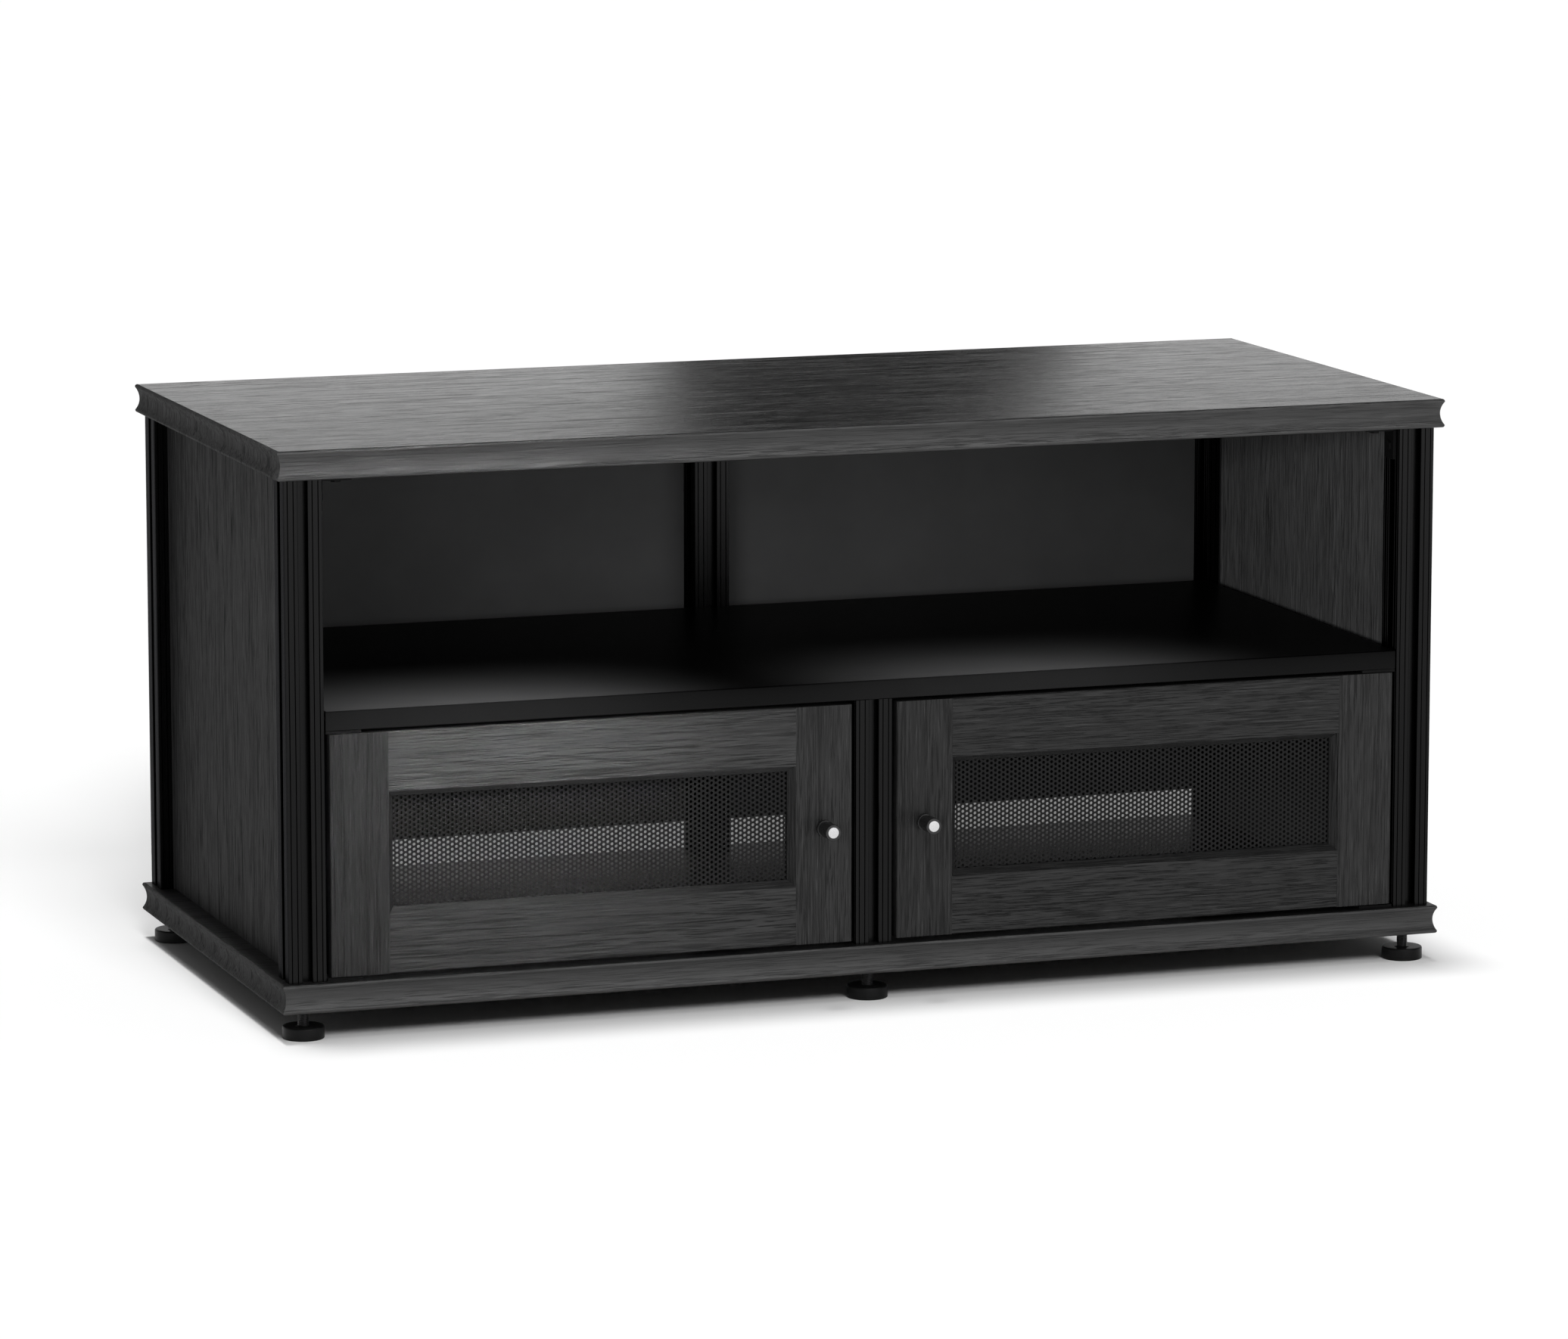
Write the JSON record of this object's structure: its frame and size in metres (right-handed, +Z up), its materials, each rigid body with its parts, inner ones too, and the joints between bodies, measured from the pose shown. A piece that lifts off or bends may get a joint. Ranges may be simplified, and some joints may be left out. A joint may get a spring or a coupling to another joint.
{
  "type": "media cabinet",
  "caption": "Low twin-bay media cabinet: black-stained oak top and base on slotted aluminium posts, an open shelf bay over hinged doors with perforated screens, on levelling feet.",
  "frame": {"origin": "Floor level, in the middle of the whole outline including the knobs.", "axes": "X runs to the right seen from the front, Y from front to back, Z up."},
  "size_m": [1.13, 0.534, 0.5365],
  "materials": {
    "black_oak": "black-stained open-grain oak, satin",
    "black_board": "satin black laminated board",
    "black_aluminium": "black anodised, satin",
    "perforated_steel": "satin black powder coat",
    "bright_aluminium": "fine bead-blasted, bright",
    "black_metal": "satin black",
    "black_plastic": "matt black",
    "black_rubber": "matt black",
    "plated_steel": "bright zinc plated"
  },
  "bodies": {
    "carcass": {"angle_brackets": "black_metal", "back_panel_left": "black_board", "back_panel_right": "black_board", "back_seam_strip": "black_metal", "base_panel": "black_oak", "door_catches": "black_plastic", "door_pivots": "black_metal", "leveller_sleeves": "plated_steel", "panel_gaskets": "black_rubber", "plate_screws": "black_metal", "post_front_centre": "black_aluminium", "post_front_left": "black_aluminium", "post_front_right": "black_aluminium", "post_rear_centre": "black_aluminium", "post_rear_left": "black_aluminium", "post_rear_right": "black_aluminium", "shelf": "black_board", "shelf_pegs": "plated_steel", "side_panel_left": "black_oak", "side_panel_right": "black_oak", "slot_nuts": "plated_steel", "slot_screws": "black_metal", "top_panel": "black_oak", "wood_screws": "black_metal"},
    "door_left": {"door_left_bushes": "black_plastic", "door_left_hinge_stile": "black_oak", "door_left_knob": "black_metal", "door_left_knob_disc": "bright_aluminium", "door_left_knob_stile": "black_oak", "door_left_rail_bottom": "black_oak", "door_left_rail_top": "black_oak", "door_left_screen": "perforated_steel", "door_left_screen_beads": "black_board", "door_left_screws": "plated_steel", "door_left_strike_plate": "plated_steel"},
    "door_right": {"door_right_bushes": "black_plastic", "door_right_hinge_stile": "black_oak", "door_right_knob": "black_metal", "door_right_knob_disc": "bright_aluminium", "door_right_knob_stile": "black_oak", "door_right_rail_bottom": "black_oak", "door_right_rail_top": "black_oak", "door_right_screen": "perforated_steel", "door_right_screen_beads": "black_board", "door_right_screws": "plated_steel", "door_right_strike_plate": "plated_steel"},
    "foot_front_left": {"foot_pad_front_left": "black_plastic", "foot_stud_front_left": "black_metal"},
    "foot_front_right": {"foot_pad_front_right": "black_plastic", "foot_stud_front_right": "black_metal"},
    "foot_rear_left": {"foot_pad_rear_left": "black_plastic", "foot_stud_rear_left": "black_metal"},
    "foot_rear_right": {"foot_pad_rear_right": "black_plastic", "foot_stud_rear_right": "black_metal"},
    "foot_front_centre": {"foot_pad_front_centre": "black_plastic", "foot_stud_front_centre": "black_metal"},
    "foot_rear_centre": {"foot_pad_rear_centre": "black_plastic", "foot_stud_rear_centre": "black_metal"}
  },
  "joints": [
    {"name": "door_left_hinge", "type": "hinge", "parent": "carcass", "child": "door_left", "pos_m": [-0.506, -0.231, 0.1679], "axis": [0, 0, -1], "range_deg": [0, 110]},
    {"name": "door_right_hinge", "type": "hinge", "parent": "carcass", "child": "door_right", "pos_m": [0.506, -0.231, 0.1679], "axis": [0, 0, 1], "range_deg": [0, 110]},
    {"name": "foot_front_left_height", "type": "slide", "parent": "carcass", "child": "foot_front_left", "axis": [0, 0, 1], "range_m": [0, 0.014]},
    {"name": "foot_front_right_height", "type": "slide", "parent": "carcass", "child": "foot_front_right", "axis": [0, 0, 1], "range_m": [0, 0.014]},
    {"name": "foot_rear_left_height", "type": "slide", "parent": "carcass", "child": "foot_rear_left", "axis": [0, 0, 1], "range_m": [0, 0.014]},
    {"name": "foot_rear_right_height", "type": "slide", "parent": "carcass", "child": "foot_rear_right", "axis": [0, 0, 1], "range_m": [0, 0.014]},
    {"name": "foot_front_centre_height", "type": "slide", "parent": "carcass", "child": "foot_front_centre", "axis": [0, 0, 1], "range_m": [0, 0.014]},
    {"name": "foot_rear_centre_height", "type": "slide", "parent": "carcass", "child": "foot_rear_centre", "axis": [0, 0, 1], "range_m": [0, 0.014]}
  ]
}
